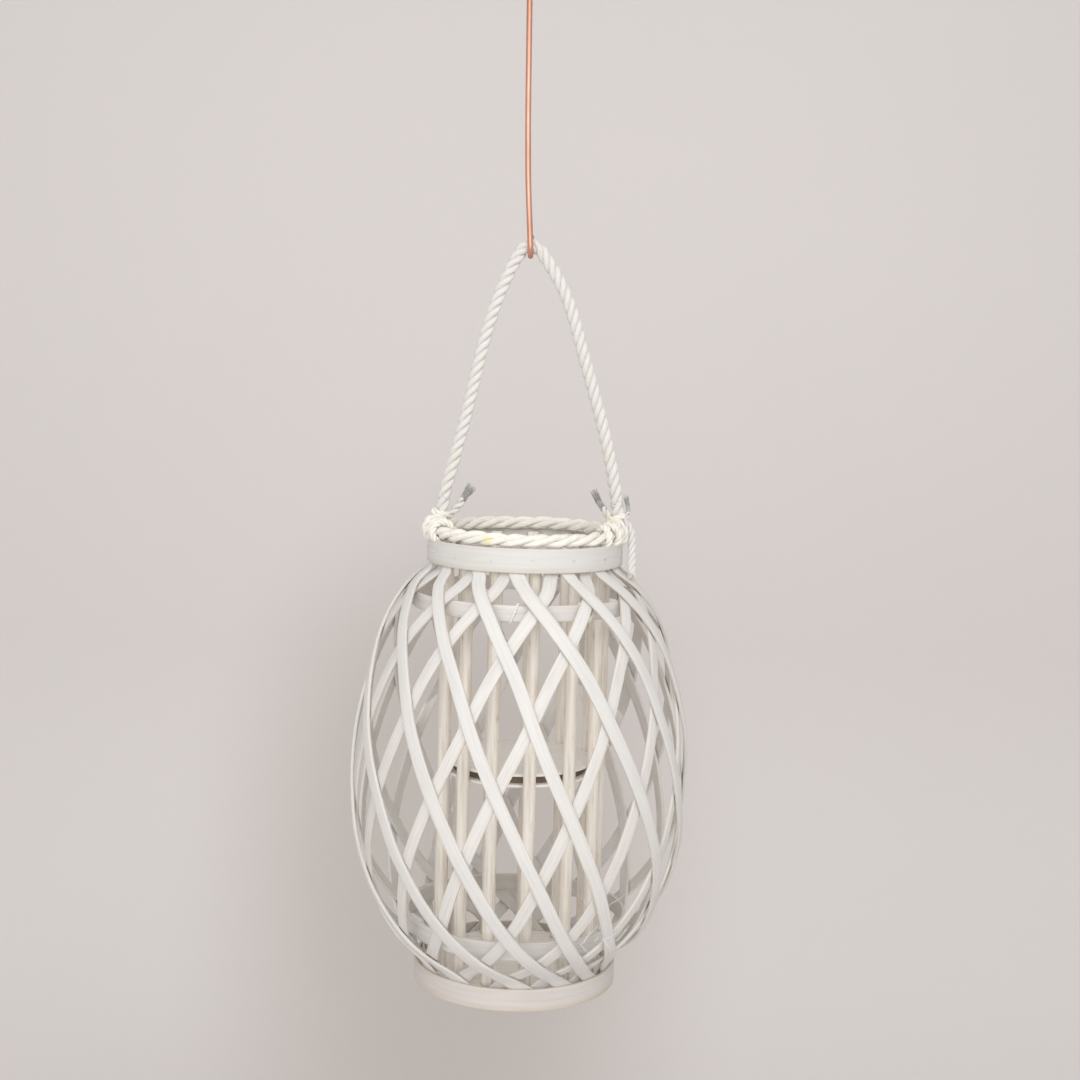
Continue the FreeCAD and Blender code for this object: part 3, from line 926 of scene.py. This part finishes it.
def lashings():
    """The knots, the wraps beside them and the cut ends that stand out of them."""
    for side, places in KNOT_TURNS.items():
        lines = [rim_turn(*place) for place in places] + [collar(*COLLARS[side])]
        knot = turns("knot_" + side, lines, KNOT_ROPE_RADIUS)
        finish_piece(knot, rim_fibre, "basket", "white_rope", side + "_lashing")
    for side, places in WRAP_TURNS.items():
        wraps = turns("wraps_" + side, [rim_turn(*place) for place in places], WRAP_ROPE_RADIUS)
        finish_piece(wraps, rim_fibre, "basket", "white_rope")
    loose_end("left_end", LEFT_STUB_ROUTE, radius=3.0, strands=2, pitch=13, laid_share=0.62,
              count=120, spread=2.2, seed=21, tip_paint=grey_fibre)
    loose_end("right_end", RIGHT_STUB_ROUTE, radius=2.8, strands=2, pitch=13, laid_share=0.4,
              count=110, spread=1.0, seed=22, tip_paint=grey_fibre)
    loose_end("outer_end", OUTER_STUB_ROUTE, radius=1.8, strands=2, pitch=10, laid_share=0.36,
              count=60, spread=0.8, seed=23, tip_paint=grey_fibre)
    loose_end("tail", TAIL_ROUTE, radius=3.1, strands=3, pitch=17, laid_share=0.93,
              count=60, spread=1.4, seed=24, tip_paint=pale_fibre)


def hoop_tie(azimuth, tilt):
    """A turn of thin cord round the top hoop's flat section."""
    low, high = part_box("top_hoop")
    half_tall = (high.z - low.z) / 2 / MM + TIE_RADIUS
    half_deep = HOOP_THICKNESS / 2 + TIE_RADIUS
    radius = (high.x - low.x) / 2 / MM - HOOP_THICKNESS / 2
    height = ((low.z + high.z) / 2 - BASE_Z) / MM
    out = outwards(azimuth)
    upright = (UP + UP.cross(out) * math.tan(math.radians(tilt))) * half_tall
    middle = out * radius + UP * height
    return [spot(*(middle + point)) for point in oval(out * half_deep, upright, SMALL_TURN_POINTS)]


def hoop_ties():
    """The thin cords tied round the top hoop, each turn at its (azimuth, tilt)."""
    for name, places in (("tie_front", [(-4, 22)]),
                         ("tie_right", [(30, -8), (32, 12), (34, -4), (36, 16)])):
        lines = [hoop_tie(azimuth, tilt) for azimuth, tilt in places]
        finish_piece(turns(name, lines, TIE_RADIUS, 2, 5.0), rim_fibre, "basket", "white_rope")


def splinters():
    """Loose willow fibres that stand off the strips low on the right."""
    chance = random.Random(SPLINTER_SEED)
    tubes = []
    for _ in range(SPLINTERS):
        azimuth = chance.uniform(*SPLINTER_AZIMUTHS)
        height = chance.uniform(*SPLINTER_HEIGHTS)
        root = on_circle(LOW_LATTICE_RADIUS, azimuth, height)
        tip = on_circle(LOW_LATTICE_RADIUS + chance.uniform(1, 6), azimuth + chance.uniform(-9, 9),
                        height + chance.uniform(-12, 16))
        sag = Vector((0, -1, 0)) * chance.uniform(1, 4) * MM
        tubes.append(fibre(root, tip, chance.uniform(0.2, 0.4) * MM, sag, sides=4))
    finish_piece(skin("willow_splinters", tubes), pale_fibre, "basket", "painted_willow")


# ---- what stays as the CAD model has it --------------------------------------------------------------

def carried_over():
    """CAD nodes whose shape is right as it is: they only get their material."""
    # The ledge's dark brown is painted shade for the recess under the platform board
    looks = {"hanging_hook": copper_look, "top_band_nails": nail_look, "base_board": board_paint,
             "platform_board": board_paint, "platform_ledge": painted_shade_wood, "platform_hoop": board_paint}
    for node, look in looks.items():
        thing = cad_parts[node]
        thing.data.materials.clear()
        thing.data.materials.append(look)


# ---- stage -------------------------------------------------------------------------------------------

def backdrop():
    """A pale wall far enough behind the lantern to leave every side clear, curving into a floor."""
    profile = [(-WALL_REACH, FLOOR_Z)]
    for i in range(COVE_STEPS + 1):
        angle = math.pi / 2 * i / COVE_STEPS
        profile.append((WALL_Y - COVE + COVE * math.sin(angle), FLOOR_Z + COVE - COVE * math.cos(angle)))
    profile.append((WALL_Y, WALL_REACH))
    vertices = [(x, y, z) for x in (-WALL_REACH, WALL_REACH) for y, z in profile]
    count = len(profile)
    faces = [(i, count + i, count + i + 1, i + 1) for i in range(count - 1)]
    mesh = bpy.data.meshes.new("backdrop")
    mesh.from_pydata(vertices, [], faces)
    mesh.shade_smooth()
    thing = bpy.data.objects.new("backdrop", mesh)
    thing.data.materials.append(backdrop_paper("backdrop_paper"))
    bpy.context.scene.collection.objects.link(thing)


def area_light(name, place, target, size, power):
    """A white lamp of this size and power at place, turned towards target and hidden from the camera."""
    data = bpy.data.lights.new(name, "AREA")
    data.shape = "RECTANGLE"
    data.size, data.size_y = size
    data.energy = power
    lamp = bpy.data.objects.new(name, data)
    lamp.location = place
    lamp.visible_camera = False
    lamp.rotation_euler = (Vector(target) - Vector(place)).to_track_quat("-Z", "Y").to_euler()
    bpy.context.scene.collection.objects.link(lamp)


def lights():
    """Two lamps on the lantern, one on the wall behind it, and an even light from all round."""
    lantern = spot(0, 0, 200)
    area_light("key", place=(0.45, -1.8, 0.8), target=lantern, size=(1.3, 1.1), power=16.0)
    area_light("fill", place=(-0.45, -2.1, -0.1), target=lantern, size=(1.4, 1.4), power=15.0)
    area_light("wall_wash", place=(0.0, 0.5, 0.0), target=(0.0, WALL_Y, -0.8), size=(2.2, 1.4), power=2.5)
    world = bpy.data.worlds.new("studio")
    world.use_nodes = True
    background = world.node_tree.nodes["Background"]
    background.inputs["Color"].default_value = WORLD_COLOUR
    background.inputs["Strength"].default_value = WORLD_STRENGTH
    bpy.context.scene.world = world
    bpy.context.scene.view_settings.view_transform = "Standard"


def camera():
    """The photo's own view."""
    data = bpy.data.cameras.new("camera")
    data.lens = CAMERA_LENS
    data.sensor_width = CAMERA_SENSOR
    seer = bpy.data.objects.new("camera", data)
    pitch = Matrix.Rotation(math.radians(90 - CAMERA_PITCH_DOWN), 4, "X")
    roll = Matrix.Rotation(math.radians(CAMERA_ROLL), 4, "Z")
    seer.matrix_world = Matrix.Translation(spot(*CAMERA_PLACE)) @ pitch @ roll
    bpy.context.scene.collection.objects.link(seer)
    bpy.context.scene.camera = seer


camera()
handle()
rim()
lashings()
hoop_ties()
splinters()
willow_lattice()
stick_cage()
bands_and_hoops()
carried_over()
backdrop()
lights()
